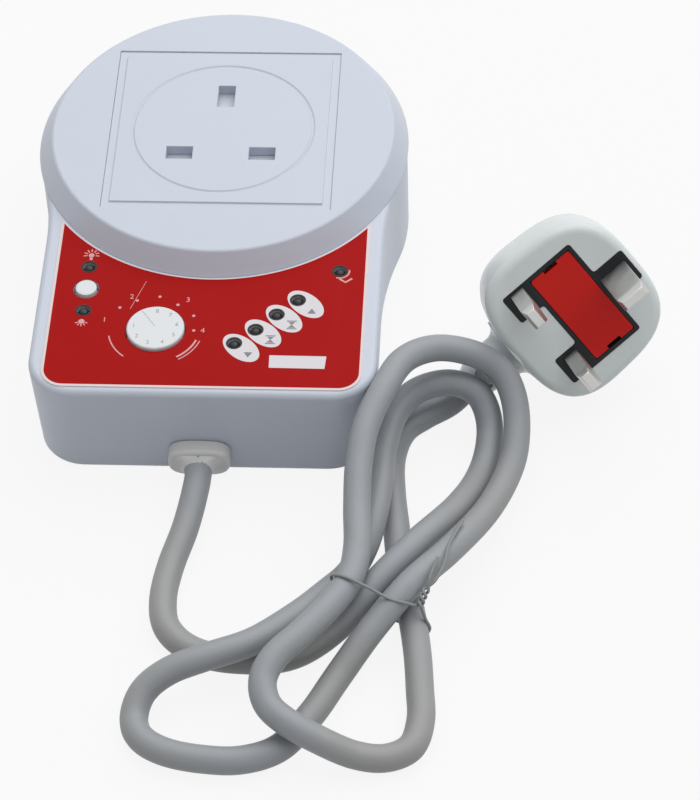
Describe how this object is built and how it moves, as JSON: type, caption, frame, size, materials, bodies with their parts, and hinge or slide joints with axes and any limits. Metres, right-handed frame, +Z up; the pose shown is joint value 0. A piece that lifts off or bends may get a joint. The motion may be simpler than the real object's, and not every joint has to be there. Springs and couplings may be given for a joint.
{
  "type": "appliance voltage protector",
  "caption": "Plug-in voltage protector with a round socket, a red front panel with delay dial, test button and lamps, and a tied cord with a fused plug.",
  "frame": {"origin": "bottom centre of the housing's bounding box, on the surface that it stands on", "axes": "+Z up out of the socket's face, +Y to the rear, where the round socket tower is; the cord leaves the front wall toward -Y"},
  "size_m": [0.1672, 0.2381, 0.05],
  "materials": {
    "shell": "smooth light blue-grey moulding",
    "white_plastic": "smooth white moulding",
    "label": "printed red film with white marks",
    "lamp": "smoked lens, unlit",
    "dark_plastic": "black moulding",
    "steel": "zinc plated",
    "brass": "bare strip",
    "board": "glass-filled board with green mask",
    "relay_case": "blue relay case",
    "winding_tape": "yellow tape over windings",
    "terminal": "green terminal moulding",
    "cord_sheath": "grey flexible sheath",
    "tie_wire": "grey coated wire",
    "plug_shell": "light grey soft moulding",
    "fuse_red": "bright red moulding",
    "pin_metal": "bright nickel plating",
    "fuse_body": "ceramic tube with plated caps"
  },
  "bodies": {
    "protector": {"upper_housing": "shell", "base_plate": "shell", "housing_screws": "steel", "disc_cover": "shell", "cover_screws": "steel", "socket_plate": "shell", "contact_carrier": "white_plastic", "shutter_spring": "steel", "line_contact": "brass", "neutral_contact": "brass", "earth_contact": "brass", "front_label": "label", "potentiometer": "dark_plastic", "tact_switch": "dark_plastic", "lamp_mains": "lamp", "lamp_output": "lamp", "lamp_low": "lamp", "lamp_wait_long": "lamp", "lamp_wait_short": "lamp", "lamp_high": "lamp", "lamp_alarm": "lamp", "circuit_board": "board", "board_screws": "steel", "relay": "relay_case", "transformer": "winding_tape", "capacitors": "dark_plastic", "terminal_block": "terminal", "cable_gland": "shell", "lead_sheath": "cord_sheath", "cord_clamp": "white_plastic", "clamp_screws": "steel", "cord": "cord_sheath", "twist_tie": "tie_wire", "plug_body": "plug_shell", "plug_insert": "dark_plastic", "line_pin": "pin_metal", "neutral_pin": "pin_metal", "earth_pin": "pin_metal", "strain_relief": "plug_shell"},
    "dial": {"dial_knob": "white_plastic", "dial_shaft": "steel"},
    "button": {"push_button": "white_plastic", "switch_plunger": "dark_plastic"},
    "shutter": {"shutter": "shell"},
    "fuse_tray": {"fuse_carrier": "fuse_red", "fuse": "fuse_body"}
  },
  "joints": [
    {"name": "dial_turn", "type": "hinge", "parent": "protector", "child": "dial", "pos_m": [-0.0128, -0.0485, 0.0312], "axis": [0, 0, 1], "range_deg": [-125, 17]},
    {"name": "button_press", "type": "slide", "parent": "protector", "child": "button", "axis": [0, 0, -1], "range_m": [0, 0.0006], "stiffness_N_per_m": 1500, "springref_m": -0.0005},
    {"name": "shutter_slide", "type": "slide", "parent": "protector", "child": "shutter", "axis": [0, -1, 0], "range_m": [0, 0.0058], "stiffness_N_per_m": 80, "springref_m": -0.004, "deforming": ["shutter_spring"]},
    {"name": "fuse_carrier_pull", "type": "slide", "parent": "protector", "child": "fuse_tray", "axis": [0.1782, -0.8384, 0.515], "range_m": [0, 0.014]}
  ]
}
